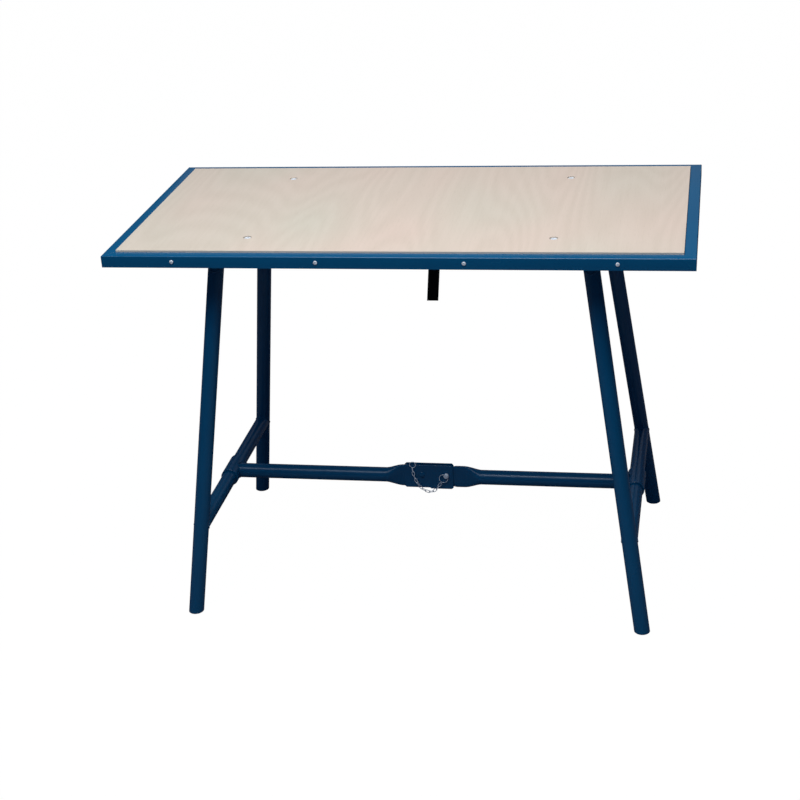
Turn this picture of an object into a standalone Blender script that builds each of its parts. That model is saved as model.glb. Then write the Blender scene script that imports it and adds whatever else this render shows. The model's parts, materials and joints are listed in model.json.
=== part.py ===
"""Folding workbench: a framed plywood top on two folding tube frames, tied by a two-part pinned stretcher.

Run with blender --background --python part.py. Metres, +Z up, feet on z = 0, long side along X.
"""
import math

import bmesh
import bpy
from mathutils import Matrix, Vector

MM = 0.001

# Driving sizes of the bench. The height is to the face of the board.
top_length = 1200 * MM
top_depth = 620 * MM
bench_height = 853.7 * MM
fit_gap = 0.3 * MM
cut_overrun = 5 * MM

# Steel angle round the top, and the plywood board. The board's edge is rebated to fit under the angle's
# flange, and its face stands a little above that flange.
rim_width = 24 * MM
rim_height = 25 * MM
rim_steel = 3 * MM
board_thickness = 25 * MM
board_rise = 3.7 * MM

# Countersunk screws through the rim into the board's edge.
screw_head_radius = 4.2 * MM
screw_head_height = 1.4 * MM
screw_shank_radius = 2 * MM
screw_shank_length = 28 * MM
screw_place_shares = (-0.375, -0.125, 0.125, 0.375)

# Bolts through the board that hold the hinge brackets, set in from the ends and the sides of the top.
bolt_inset_x = 283 * MM
bolt_inset_y = 107 * MM
bolt_recess_radius = 9 * MM
bolt_recess_depth = 5 * MM
bolt_head_radius = 7 * MM
bolt_head_height = 3.5 * MM
bolt_shank_radius = 4 * MM
washer_radius = 8 * MM
washer_thickness = 1.5 * MM
nut_radius = 7 * MM
nut_height = 4.5 * MM
bolt_tip = 0.6 * MM

# Leg frames: two splayed legs, a pivot tube at the top and a crossbar low down. The insets are from the edges
# of the top, and the pivot's drop is from the face of the board.
tube_radius = 16.85 * MM
tube_wall = 2.5 * MM
pivot_inset_x = 210 * MM
pivot_inset_y = 108.5 * MM
pivot_drop = 53.7 * MM
foot_inset_x = 103 * MM
foot_inset_y = 15 * MM
crossbar_z = 205 * MM
pivot_tube_overhang = 17.2 * MM
plug_length = 30 * MM

# Hinge brackets under the board: a flat plate with a bored lug round the pivot tube.
bracket_plate = 3 * MM
bracket_edge = 16 * MM
lug_inset_y = 150 * MM
lug_thickness = 8 * MM
lug_wall = 8 * MM

# Stretcher: two tubes with flattened ends, each welded to a sleeve that turns on its crossbar.
sleeve_wall = 3.2 * MM
sleeve_length = 80 * MM
flat_height = 53.5 * MM
flat_thickness = 8 * MM
flat_end_radius = 22 * MM
left_flat_reach = 62 * MM
right_flat_reach = 78 * MM
taper_length = 42 * MM
rivet_x = -18.5 * MM
pin_x = 38.5 * MM
pin_rise = 5.5 * MM

# Knuckle plates on both sides of the flattened ends, the rivet, and the lock pin with its ring and chain.
plate_thickness = 3 * MM
plate_left = 60 * MM
plate_right = 54 * MM
plate_low_height = 54.8 * MM
plate_high_height = 59.5 * MM
plate_chamfer = 4 * MM
rivet_radius = 4 * MM
rivet_head_radius = 7 * MM
rivet_head_height = 3 * MM
pin_radius = 4 * MM
pin_head_radius = 6 * MM
pin_head_length = 7 * MM
slot_slack = 1.6 * MM
slot_past_middle = 0.6 * MM
slot_rise_up = 67
slot_rise_down = 62
ring_radius = 10 * MM
ring_wire = 0.9 * MM
link_wire = 0.8 * MM
link_width = 7 * MM
link_pitch = 9.6 * MM
link_bite = 0.5 * MM
eye_radius = 7 * MM
# The chain hangs from its eye to the ring: points right of and above the knuckle's centre.
chain_route = (
    (-39 * MM, 24.8 * MM), (-38 * MM, 15 * MM), (-36.5 * MM, 5 * MM), (-32 * MM, -7 * MM),
    (-26 * MM, -19 * MM), (-17.5 * MM, -28.5 * MM), (-7.5 * MM, -34.2 * MM), (2.5 * MM, -35.8 * MM),
    (11 * MM, -31.5 * MM), (19 * MM, -22.5 * MM), (25.6 * MM, -12 * MM),
)

# Webbing strap under the board, for tying up the folded frames.
strap_x = 62 * MM
strap_y = -120 * MM
strap_width = 24 * MM
strap_thickness = 2.4 * MM
strap_drop = 144 * MM
strap_sway = 2 * MM
strap_lean = 13 * MM
strap_fold = 30 * MM
strap_bend = 6 * MM
strap_screw_radius = 6 * MM
strap_screw_height = 3 * MM

# Worked out from the sizes above.
board_top = bench_height
rim_top = board_top - board_rise
rebate_level = rim_top - rim_steel - fit_gap
board_bottom = board_top - board_thickness
plate_level = board_bottom - fit_gap
screw_level = rim_top - rim_height / 2
bolt_x = top_length / 2 - bolt_inset_x
bolt_y = top_depth / 2 - bolt_inset_y
pivot_x = top_length / 2 - pivot_inset_x
pivot_y = top_depth / 2 - pivot_inset_y
pivot_z = bench_height - pivot_drop
foot_x = top_length / 2 - foot_inset_x
foot_y = top_depth / 2 - foot_inset_y
lug_y = top_depth / 2 - lug_inset_y
foot_rise = pivot_z
lean_share = (foot_x - pivot_x) / foot_rise
splay_share = (foot_y - pivot_y) / foot_rise
crossbar_x = pivot_x + lean_share * (pivot_z - crossbar_z)
crossbar_y = pivot_y + splay_share * (pivot_z - crossbar_z)
sleeve_radius = tube_radius + fit_gap + sleeve_wall
plate_y = flat_thickness / 2 + fit_gap
pin_z = crossbar_z + pin_rise
chain_y = plate_y + plate_thickness + 2 * (fit_gap + ring_wire) + link_width / 2

tube_sides = 20
small_sides = 12

materials = {
    "frame_paint": ((0.004, 0.035, 0.075, 1), 0.38, 0.0),
    "plywood": ((0.62, 0.56, 0.47, 1), 0.6, 0.0),
    "zinc": ((0.55, 0.56, 0.58, 1), 0.35, 1.0),
    "webbing": ((0.012, 0.012, 0.013, 1), 0.8, 0.0),
    "black_plastic": ((0.02, 0.02, 0.022, 1), 0.5, 0.0),
}


def clear_scene():
    for item in list(bpy.data.objects):
        bpy.data.objects.remove(item, do_unlink=True)


def material_of(name, kind):
    colour, roughness, metallic = materials[kind]
    made = bpy.data.materials.new(name + "_material")
    made.use_nodes = True
    shader = made.node_tree.nodes["Principled BSDF"]
    shader.inputs["Base Color"].default_value = colour
    shader.inputs["Roughness"].default_value = roughness
    shader.inputs["Metallic"].default_value = metallic
    made.diffuse_color = colour
    return made


def add(name, mesh, kind, place=Matrix.Identity(4), parent=None):
    """Make a named object from a bmesh, with its normals outward and its own material."""
    bmesh.ops.recalc_face_normals(mesh, faces=mesh.faces)
    data = bpy.data.meshes.new(name)
    mesh.to_mesh(data)
    mesh.free()
    made = bpy.data.objects.new(name, data)
    bpy.context.scene.collection.objects.link(made)
    if kind:
        data.materials.append(material_of(name, kind))
    if parent:
        made.parent = parent
        made.matrix_parent_inverse = Matrix.Identity(4)
        made.matrix_basis = parent.matrix_basis.inverted() @ place
    else:
        made.matrix_basis = place
    return made


def pivot(name, place):
    """An empty on a joint's axis, which carries the pieces that move with the joint."""
    empty = bpy.data.objects.new(name, None)
    bpy.context.scene.collection.objects.link(empty)
    empty.matrix_basis = Matrix.Translation(place)
    return empty


def cutter(mesh, place=Matrix.Identity(4)):
    made = add("cutter", mesh, None, place)
    made.display_type = "WIRE"
    made.hide_render = True
    return made


def cut(target, *tools, mode="DIFFERENCE"):
    """Apply exact booleans, then delete the cutters."""
    for tool in tools:
        step = target.modifiers.new("cut", "BOOLEAN")
        step.operation = mode
        step.solver = "EXACT"
        step.object = tool
        bpy.context.view_layer.update()
        graph = bpy.context.evaluated_depsgraph_get()
        data = bpy.data.meshes.new_from_object(target.evaluated_get(graph))
        target.modifiers.clear()
        target.data = data
        bpy.data.objects.remove(tool, do_unlink=True)
    return target


def block(low, high):
    """A box between two corners."""
    mesh = bmesh.new()
    size = Vector(high) - Vector(low)
    middle = (Vector(high) + Vector(low)) / 2
    bmesh.ops.create_cube(mesh, size=1, matrix=Matrix.Translation(middle) @ Matrix.Diagonal((*size, 1)))
    return mesh


def prism(outline, low, high):
    """Extrude a closed outline of (x, z) points along Y."""
    mesh = bmesh.new()
    rings = [[mesh.verts.new((x, level, z)) for x, z in outline] for level in (low, high)]
    mesh.faces.new(rings[0])
    mesh.faces.new(list(reversed(rings[1])))
    count = len(outline)
    for i in range(count):
        j = (i + 1) % count
        mesh.faces.new((rings[0][i], rings[1][i], rings[1][j], rings[0][j]))
    return mesh


def stack(rings, closed=False):
    """Skin a list of equal rings of points, and cap the two ends unless the stack closes on itself."""
    mesh = bmesh.new()
    made = [[mesh.verts.new(p) for p in ring] for ring in rings]
    count = len(made[0])
    last = len(made) if closed else len(made) - 1
    for k in range(last):
        here, there = made[k], made[(k + 1) % len(made)]
        for i in range(count):
            j = (i + 1) % count
            mesh.faces.new((here[i], here[j], there[j], there[i]))
    if not closed:
        mesh.faces.new(list(reversed(made[0])))
        mesh.faces.new(made[-1])
    return mesh


def turned(profile, start, end, sides):
    """Turn a list of (distance, radius) pairs round the line from start towards end."""
    start, end = Vector(start), Vector(end)
    along = (end - start).normalized()
    side = along.orthogonal().normalized()
    other = along.cross(side)
    rings = []
    for distance, radius in profile:
        ring = []
        for i in range(sides):
            angle = 2 * math.pi * (i + 0.5) / sides
            outward = side * math.cos(angle) + other * math.sin(angle)
            ring.append(start + along * distance + outward * radius)
        rings.append(ring)
    return rings


def rod(start, end, radius, sides=tube_sides):
    length = (Vector(end) - Vector(start)).length
    return stack(turned(((0, radius), (length, radius)), start, end, sides))


def pipe(start, end, radius, wall, sides=tube_sides):
    """A hollow tube: the outer skin one way and the bore back."""
    length = (Vector(end) - Vector(start)).length
    inner = radius - wall
    profile = ((0, radius), (length, radius), (length, inner), (0, inner))
    return stack(turned(profile, start, end, sides), closed=True)


def wire_loop(points, radius, normal, sides=6):
    """A closed ring of round wire through points that lie in one plane."""
    normal = Vector(normal).normalized()
    middle = sum((Vector(p) for p in points), Vector()) / len(points)
    rings = []
    count = len(points)
    for i, point in enumerate(points):
        ahead = Vector(points[(i + 1) % count]) - Vector(points[i - 1])
        outward = ahead.cross(normal).normalized()
        if outward.dot(Vector(point) - middle) < 0:
            outward.negate()
        ring = []
        for k in range(sides):
            angle = 2 * math.pi * k / sides
            ring.append(Vector(point) + (outward * math.cos(angle) + normal * math.sin(angle)) * radius)
        rings.append(ring)
    return stack(rings, closed=True)


def arc(centre, radius, start, end, steps):
    """Points (a, b) on an arc, with the angles in degrees."""
    found = []
    for i in range(steps + 1):
        angle = math.radians(start + (end - start) * i / steps)
        found.append((centre[0] + radius * math.cos(angle), centre[1] + radius * math.sin(angle)))
    return found


def rim_side(name, length, across, turn):
    """One mitred side of the angle rim, built along X at the front, then turned about the centre."""
    inner = rim_steel
    profile = (
        (0, rim_top - rim_height), (inner, rim_top - rim_height), (inner, rim_top - rim_steel),
        (rim_width, rim_top - rim_steel), (rim_width, rim_top), (0, rim_top),
    )
    ends = []
    for sign in (-1, 1):
        ring = []
        for inward, z in profile:
            half = length / 2 - inward - fit_gap / 2
            ring.append(Vector((sign * half, inward - across / 2, z)))
        ends.append(ring)
    return add(name, stack(ends), "frame_paint", Matrix.Rotation(turn, 4, "Z"))


def drill_rim(rim, length, across, turn):
    """Screw holes through the upright leg of one side."""
    place = Matrix.Rotation(turn, 4, "Z")
    outside = -across / 2 - cut_overrun
    inside = -across / 2 + rim_steel + cut_overrun
    bore = screw_shank_radius + fit_gap
    for share in screw_place_shares:
        x = share * length
        hole = rod((x, outside, screw_level), (x, inside, screw_level), bore, small_sides)
        cut(rim, cutter(hole, place))


def rim():
    front = rim_side("rim_front", top_length, top_depth, 0)
    back = rim_side("rim_back", top_length, top_depth, math.pi)
    rim_side("rim_right", top_depth, top_length, math.pi / 2)
    rim_side("rim_left", top_depth, top_length, -math.pi / 2)
    drill_rim(front, top_length, top_depth, 0)
    drill_rim(back, top_length, top_depth, math.pi)


def board():
    """The plywood, rebated all round under the flange, with holes for the bolts and screws."""
    rings = []
    steps = (
        (rim_steel, board_bottom), (rim_steel, rebate_level),
        (rim_width, rebate_level), (rim_width, board_top),
    )
    for inset, z in steps:
        x, y = top_length / 2 - inset - fit_gap, top_depth / 2 - inset - fit_gap
        rings.append([Vector((-x, -y, z)), Vector((x, -y, z)), Vector((x, y, z)), Vector((-x, y, z))])
    made = add("board", stack(rings), "plywood")
    for sx in (-1, 1):
        for sy in (-1, 1):
            x, y = sx * bolt_x, sy * bolt_y
            hole = rod((x, y, board_bottom - cut_overrun), (x, y, board_top + cut_overrun),
                       bolt_shank_radius + fit_gap, small_sides)
            recess = rod((x, y, board_top - bolt_recess_depth), (x, y, board_top + cut_overrun),
                         bolt_recess_radius, tube_sides)
            cut(made, cutter(hole), cutter(recess))
    outside = top_depth / 2 - rim_steel - fit_gap + cut_overrun
    inside = top_depth / 2 - rim_steel - screw_shank_length - cut_overrun
    for side in (-1, 1):
        for share in screw_place_shares:
            x = share * top_length
            hole = rod((x, side * outside, screw_level), (x, side * inside, screw_level),
                       screw_shank_radius + fit_gap, small_sides)
            cut(made, cutter(hole))


def rim_screws():
    dome = (
        (-screw_head_height, screw_head_radius * 0.55), (-screw_head_height * 0.6, screw_head_radius * 0.85),
        (0, screw_head_radius), (0, screw_shank_radius), (screw_shank_length, screw_shank_radius),
    )
    for label, side in (("front", -1), ("back", 1)):
        for number, share in enumerate(screw_place_shares, 1):
            x = share * top_length
            y = side * (top_depth / 2 + fit_gap)
            rings = turned(dome, (x, y, screw_level), (x, 0, screw_level), small_sides)
            add(f"rim_screw_{label}_{number}", stack(rings), "zinc")


def corners():
    for x_name, sx in (("left", -1), ("right", 1)):
        for y_name, sy in (("front", -1), ("back", 1)):
            yield f"{x_name}_{y_name}", sx, sy


def board_bolts():
    seat = board_top - bolt_recess_depth + fit_gap
    end = plate_level - bracket_plate - fit_gap * 2 - washer_thickness - nut_height - bolt_tip
    shape = (
        (0, bolt_head_radius * 0.8), (bolt_head_height * 0.4, bolt_head_radius),
        (bolt_head_height, bolt_head_radius), (bolt_head_height, bolt_shank_radius),
        (seat + bolt_head_height - end, bolt_shank_radius),
    )
    under = plate_level - bracket_plate - fit_gap
    bore = bolt_shank_radius + fit_gap
    for label, sx, sy in corners():
        x, y = sx * bolt_x, sy * bolt_y
        bolt = stack(turned(shape, (x, y, seat + bolt_head_height), (x, y, end), small_sides))
        add(f"board_bolt_{label}", bolt, "zinc")
        profile = (
            (0, washer_radius), (washer_thickness, washer_radius), (washer_thickness, nut_radius),
            (washer_thickness + nut_height, nut_radius), (washer_thickness + nut_height, bore), (0, bore),
        )
        nut = stack(turned(profile, (x, y, under), (x, y, 0), small_sides), closed=True)
        add(f"bolt_nut_{label}", nut, "zinc")


def hinge_brackets():
    """A plate bolted under the board, and a bored lug that carries the pivot tube."""
    outer = tube_radius + fit_gap + lug_wall
    bore = tube_radius + fit_gap
    for label, sx, sy in corners():
        low_x, high_x = bolt_x - bracket_edge, pivot_x + outer
        low_y, high_y = lug_y - lug_thickness / 2, bolt_y + bracket_edge
        mesh = block((low_x, low_y, plate_level - bracket_plate), (high_x, high_y, plate_level))
        outline = arc((pivot_x, pivot_z), outer, 180, 360, tube_sides // 2)
        inside_plate = plate_level - bracket_plate / 2
        outline += [(pivot_x + outer, inside_plate), (pivot_x - outer, inside_plate)]
        made = add(f"hinge_bracket_{label}", mesh, "frame_paint")
        cut(made, cutter(prism(outline, lug_y - lug_thickness / 2, lug_y + lug_thickness / 2)), mode="UNION")
        hole = rod((pivot_x, lug_y - lug_thickness, pivot_z), (pivot_x, lug_y + lug_thickness, pivot_z), bore)
        over, under = plate_level + cut_overrun, plate_level - bracket_plate - cut_overrun
        drill = rod((bolt_x, bolt_y, over), (bolt_x, bolt_y, under), bolt_shank_radius + fit_gap, small_sides)
        cut(made, cutter(hole), cutter(drill))
        made.data.transform(Matrix.Diagonal((sx, sy, 1, 1)))
        if sx * sy < 0:
            made.data.flip_normals()


def leg_points(sx, sy):
    """The pivot end and the floor end of one leg's axis."""
    return Vector((sx * pivot_x, sy * pivot_y, pivot_z)), Vector((sx * foot_x, sy * foot_y, 0))


def floor_cutter(foot):
    """A block below the floor, which cuts a foot level."""
    wide = tube_radius * 4
    return cutter(block((foot.x - wide, foot.y - wide, -wide), (foot.x + wide, foot.y + wide, 0)))


def leg(name, label, sx, sy, hinge):
    """A tube coped to the pivot tube and cut level at the floor, and the plug in its foot."""
    top, foot = leg_points(sx, sy)
    along = (foot - top).normalized()
    low = foot + along * cut_overrun * 2
    made = add(f"{name}_leg_{label}", pipe(top, low, tube_radius, tube_wall), "frame_paint", parent=hinge)
    past = pivot_y + pivot_tube_overhang + cut_overrun
    cope = rod((sx * pivot_x, -past, pivot_z), (sx * pivot_x, past, pivot_z), tube_radius + fit_gap)
    cut(made, cutter(cope), floor_cutter(foot))
    solid = rod(foot - along * plug_length, low, tube_radius - tube_wall - fit_gap)
    plug = add(f"{name}_foot_plug_{label}", solid, "black_plastic", parent=hinge)
    cut(plug, floor_cutter(foot))


def leg_frame(name, sx):
    """Two legs with their foot plugs, the pivot tube and the crossbar, on the hinge's axis."""
    hinge = pivot(name + "_hinge", (sx * pivot_x, 0, pivot_z))
    reach = pivot_y + pivot_tube_overhang
    tube = pipe((sx * pivot_x, -reach, pivot_z), (sx * pivot_x, reach, pivot_z), tube_radius, tube_wall)
    add(name + "_pivot_tube", tube, "frame_paint", parent=hinge)
    leg(name, "front", sx, -1, hinge)
    leg(name, "back", sx, 1, hinge)
    bar_x = sx * crossbar_x
    tube = pipe((bar_x, -crossbar_y, crossbar_z), (bar_x, crossbar_y, crossbar_z), tube_radius, tube_wall)
    bar = add(name + "_crossbar", tube, "frame_paint", parent=hinge)
    for sy in (-1, 1):
        top, foot = leg_points(sx, sy)
        cut(bar, cutter(rod(top, foot, tube_radius + fit_gap)))


def section(x, half_height, half_thickness, fullness):
    """A ring of points across the stretcher: round at fullness 2, flatter above it."""
    ring = []
    for i in range(tube_sides):
        angle = 2 * math.pi * (i + 0.5) / tube_sides
        c, s = math.cos(angle), math.sin(angle)
        y = half_thickness * math.copysign(abs(c) ** (2 / fullness), c)
        z = half_height * math.copysign(abs(s) ** (2 / fullness), s)
        ring.append(Vector((x, y, crossbar_z + z)))
    return ring


def stretcher_half(name, sx, end_x, flat_reach, hinge):
    """A tube from its sleeve to the knuckle, its end flattened and rounded about end_x."""
    rings = [section(sx * crossbar_x, tube_radius, tube_radius, 2)]
    steps = 5
    for i in range(steps + 1):
        share = i / steps
        ease = share * share * (3 - 2 * share)
        x = flat_reach + taper_length * (1 - share)
        rings.append(section(sx * x, tube_radius + (flat_height / 2 - tube_radius) * ease,
                             tube_radius + (flat_thickness / 2 - tube_radius) * ease, 2 + 2 * ease))
    far = abs(end_x)
    rings.append(section(sx * (far + flat_end_radius), flat_height / 2, flat_thickness / 2, 4))
    for angle in (20, 50, 70, 84):
        inward = flat_end_radius * math.sin(math.radians(angle))
        tall = flat_end_radius * math.cos(math.radians(angle))
        rings.append(section(sx * (far - inward), tall, flat_thickness / 2, 4))
    made = add(name, stack(rings), "frame_paint", parent=hinge)
    around = rod((sx * crossbar_x, -sleeve_length, crossbar_z), (sx * crossbar_x, sleeve_length, crossbar_z),
                 sleeve_radius + fit_gap)
    cut(made, cutter(around))
    return made


def slots_for_pin(tongue):
    """Blind grooves in the right half's front face, which let it leave the lock pin upwards or downwards."""
    half = pin_radius + slot_slack
    long = flat_height
    for degrees in (slot_rise_up, -slot_rise_down):
        groove = block((0, -flat_thickness, -half), (long, slot_past_middle, half))
        place = Matrix.Translation((pin_x, 0, pin_z)) @ Matrix.Rotation(-math.radians(degrees), 4, "Y")
        cut(tongue, cutter(groove, place))
    pocket = rod((pin_x, -flat_thickness, pin_z), (pin_x, slot_past_middle, pin_z), half)
    cut(tongue, cutter(pocket))


def knuckle_outline():
    """The knuckle plate: lower over the left half, deeper over the right one, with clipped corners."""
    clip = plate_chamfer
    shallow = crossbar_z - plate_low_height / 2
    deep = crossbar_z - plate_high_height / 2
    top = crossbar_z + plate_high_height / 2
    return [
        (-plate_left, shallow + clip), (-plate_left + clip, shallow), (0, shallow), (0, deep),
        (plate_right - clip, deep), (plate_right, deep + clip), (plate_right, top - clip),
        (plate_right - clip, top), (-plate_left + clip, top), (-plate_left, top - clip),
    ]


def knuckle(hinge, tongue):
    front = prism(knuckle_outline(), -plate_y - plate_thickness, -plate_y)
    back = prism(knuckle_outline(), plate_y, plate_y + plate_thickness)
    front = add("knuckle_plate_front", front, "frame_paint", parent=hinge)
    back = add("knuckle_plate_back", back, "frame_paint", parent=hinge)
    reach = plate_y + plate_thickness + cut_overrun
    for target in (front, back, tongue):
        hole = rod((rivet_x, -reach, pin_z), (rivet_x, reach, pin_z), rivet_radius + fit_gap)
        cut(target, cutter(hole))
    cut(front, cutter(rod((pin_x, -reach, pin_z), (pin_x, 0, pin_z), pin_radius + fit_gap)))
    seat = plate_y + plate_thickness + fit_gap
    dome = ((0, rivet_head_radius * 0.5), (rivet_head_height * 0.5, rivet_head_radius * 0.85),
            (rivet_head_height, rivet_head_radius), (rivet_head_height, rivet_radius))
    span = 2 * seat + 2 * rivet_head_height
    back_dome = tuple((span - distance, radius) for distance, radius in reversed(dome))
    start = (rivet_x, -seat - rivet_head_height, pin_z)
    rivet = stack(turned(dome + back_dome, start, (rivet_x, 0, pin_z), small_sides))
    add("knuckle_rivet", rivet, "frame_paint", parent=hinge)


def lock_pin(hinge):
    """The pin with its cross-drilled head, and the split ring through the head."""
    carrier = pivot("lock_pin_slide", (pin_x, 0, pin_z))
    carrier.parent = hinge
    carrier.matrix_basis = hinge.matrix_basis.inverted() @ carrier.matrix_basis
    face = plate_y + plate_thickness + fit_gap
    shape = (
        (0, pin_head_radius * 0.6), (pin_head_length * 0.25, pin_head_radius),
        (pin_head_length, pin_head_radius), (pin_head_length, pin_radius),
        (pin_head_length + face, pin_radius),
    )
    start = (pin_x, -face - pin_head_length, pin_z)
    pin = add("lock_pin", stack(turned(shape, start, (pin_x, 0, pin_z), small_sides)), "zinc")
    hole_y = -face - pin_head_length / 2
    tilt = Vector((-1, 0, -1)).normalized()
    centre = Vector((pin_x, hole_y, pin_z)) + tilt * ring_radius * 0.92
    points = []
    count = 24
    for i in range(count):
        angle = 2 * math.pi * i / count
        points.append(centre + Vector((math.cos(angle), 0, math.sin(angle))) * ring_radius)
    ring = wire_loop(points, ring_wire, (0, 1, 0))
    bore = wire_loop(points, ring_wire + fit_gap, (0, 1, 0))
    cut(pin, cutter(bore))
    ring = add("split_ring", ring, "zinc")
    bpy.context.view_layer.update()
    for piece in (pin, ring):
        piece.parent = carrier
        piece.matrix_basis = Matrix.Translation((-pin_x, 0, -pin_z))


def chain(hinge):
    """Links along the hanging route, each turned a quarter against the last and fused where they bear."""
    route = [Vector((x, -chain_y, crossbar_z + z)) for x, z in chain_route]
    lengths = [0.0]
    for a, b in zip(route, route[1:]):
        lengths.append(lengths[-1] + (b - a).length)

    def at(distance):
        for k in range(len(route) - 1):
            if distance <= lengths[k + 1] or k == len(route) - 2:
                share = (distance - lengths[k]) / (lengths[k + 1] - lengths[k])
                return route[k].lerp(route[k + 1], share)

    count = round(lengths[-1] / link_pitch)
    pitch = lengths[-1] / count
    link_length = pitch + 4 * link_wire - link_bite
    links = []
    for number in range(count):
        a, b = at(number * pitch), at((number + 1) * pitch)
        along = (b - a).normalized()
        facing = Vector((0, 1, 0)) if number % 2 else along.cross(Vector((0, 1, 0))).normalized()
        wide = along.cross(facing)
        middle = (a + b) / 2
        half_width = link_width / 2 - link_wire
        half_length = link_length / 2 - link_width / 2
        points = []
        for sign, first in ((1, -90), (-1, 90)):
            for c, s in arc((0, 0), 1, first, first + 180, 4):
                points.append(middle + along * (sign * half_length + c * half_width) + wide * s * half_width)
        links.append(wire_loop(points, link_wire, facing, 5))
    whole = add("pin_chain", links[0], "zinc")
    for link in links[1:]:
        cut(whole, cutter(link), mode="UNION")
    whole.parent = hinge
    whole.matrix_basis = hinge.matrix_basis.inverted()


def chain_eye(hinge):
    """A wire eye close against the knuckle plate, which holds the chain's first link."""
    level = -(plate_y + plate_thickness + fit_gap + ring_wire)
    start_x, start_z = chain_route[0]
    centre = Vector((start_x, level, crossbar_z + start_z + eye_radius - link_wire))
    points = [centre + Vector((c, 0, s)) for c, s in arc((0, 0), eye_radius, 0, 360 - 360 / 16, 15)]
    add("chain_eye", wire_loop(points, ring_wire, (0, 1, 0)), "zinc", parent=hinge)


def sleeves(name, sx, hinge):
    start = (sx * crossbar_x, -sleeve_length / 2, crossbar_z)
    end = (sx * crossbar_x, sleeve_length / 2, crossbar_z)
    add(name, pipe(start, end, sleeve_radius, sleeve_wall), "frame_paint", parent=hinge)


def stretcher():
    left = pivot("left_stretcher_hinge", (-crossbar_x, 0, crossbar_z))
    right = pivot("right_stretcher_hinge", (crossbar_x, 0, crossbar_z))
    sleeves("left_sleeve", -1, left)
    sleeves("right_sleeve", 1, right)
    left_half = stretcher_half("left_stretcher", -1, rivet_x, left_flat_reach, left)
    right_half = stretcher_half("right_stretcher", 1, pin_x, right_flat_reach, right)
    slots_for_pin(right_half)
    knuckle(left, left_half)
    lock_pin(left)
    chain(left)
    chain_eye(left)


def strap():
    """A flat webbing tail: screwed under the board, bent over and hanging down with a slight sway."""
    top = board_bottom - fit_gap
    half = strap_thickness / 2
    level = top - half
    centre = [Vector((strap_fold, level))]
    centre += [Vector(p) for p in arc((strap_bend, level - strap_bend), strap_bend, 90, 180, 4)]
    drop = strap_drop - strap_bend - half
    steps = 6
    for i in range(1, steps + 1):
        share = i / steps
        centre.append(Vector((strap_sway * share * share, level - strap_bend - drop * share)))
    rings = []
    for i, point in enumerate(centre):
        ahead = (centre[min(i + 1, len(centre) - 1)] - centre[max(i - 1, 0)]).normalized()
        offset = Vector((-ahead.y, ahead.x)) * half
        x = strap_x - strap_lean * max(level - strap_bend - point.y, 0) / drop
        ring = []
        for side, across in ((1, -1), (1, 1), (-1, 1), (-1, -1)):
            a, z = point + offset * side
            ring.append(Vector((x + across * strap_width / 2, strap_y + a, z)))
        rings.append(ring)
    add("strap", stack(rings), "webbing")
    y = strap_y + (strap_fold + strap_bend) / 2
    head = top - strap_thickness - fit_gap
    shape = (
        (0, strap_screw_radius * 0.6), (strap_screw_height * 0.5, strap_screw_radius),
        (strap_screw_height, strap_screw_radius),
    )
    rings = turned(shape, (strap_x, y, head - strap_screw_height), (strap_x, y, board_top), small_sides)
    add("strap_screw", stack(rings), "zinc")


def build():
    clear_scene()
    rim()
    board()
    rim_screws()
    board_bolts()
    hinge_brackets()
    leg_frame("left", -1)
    leg_frame("right", 1)
    stretcher()
    strap()


build()
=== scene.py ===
# %% [markdown]
# A folding workbench: a plywood board in a painted steel rim, on two tube frames tied by a pinned stretcher.
# The measured CAD model is loaded as a fixed frame. Every piece made here takes its place from it.

import json
import math

import bmesh
import bpy
from mathutils import Matrix, Vector, noise


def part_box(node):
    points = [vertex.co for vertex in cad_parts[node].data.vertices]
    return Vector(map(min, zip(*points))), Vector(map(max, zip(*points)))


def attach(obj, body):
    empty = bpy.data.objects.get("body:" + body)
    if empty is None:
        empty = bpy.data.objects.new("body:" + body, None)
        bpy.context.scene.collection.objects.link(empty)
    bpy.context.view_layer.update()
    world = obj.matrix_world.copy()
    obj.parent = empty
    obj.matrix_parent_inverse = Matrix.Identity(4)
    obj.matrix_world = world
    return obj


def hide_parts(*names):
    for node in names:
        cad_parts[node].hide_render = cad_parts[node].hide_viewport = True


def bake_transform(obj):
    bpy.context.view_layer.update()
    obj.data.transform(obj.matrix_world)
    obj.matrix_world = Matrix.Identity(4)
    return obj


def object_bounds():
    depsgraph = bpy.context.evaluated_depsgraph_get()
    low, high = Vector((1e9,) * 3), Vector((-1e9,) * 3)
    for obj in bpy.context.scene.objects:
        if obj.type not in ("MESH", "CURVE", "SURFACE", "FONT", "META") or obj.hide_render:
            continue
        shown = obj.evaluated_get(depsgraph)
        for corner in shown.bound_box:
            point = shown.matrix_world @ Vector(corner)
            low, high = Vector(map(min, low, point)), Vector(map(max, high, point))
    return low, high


MM = 0.001
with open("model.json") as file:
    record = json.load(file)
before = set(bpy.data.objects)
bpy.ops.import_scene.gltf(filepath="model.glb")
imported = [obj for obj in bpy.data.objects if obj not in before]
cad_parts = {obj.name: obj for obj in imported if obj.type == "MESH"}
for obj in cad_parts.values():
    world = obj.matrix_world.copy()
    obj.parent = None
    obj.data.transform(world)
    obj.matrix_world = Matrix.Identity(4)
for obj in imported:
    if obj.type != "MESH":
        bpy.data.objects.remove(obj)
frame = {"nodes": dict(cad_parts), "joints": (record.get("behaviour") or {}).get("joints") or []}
cad_low, cad_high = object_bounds()
print("bench size in metres:", [round(v, 3) for v in cad_high - cad_low])

# %% [markdown]
# The camera stands a little right of the bench and looks down on it. Its place, turn and lens were worked out
# from the corners of the top and the feet, so the render has the photograph's perspective.

# %% Camera
camera_place = Vector((0.6368, -3.3336, 1.9476))
camera_yaw, camera_pitch, camera_roll = 0.2061, -0.4276, -0.0651
camera_lens_mm = 74.4


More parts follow.
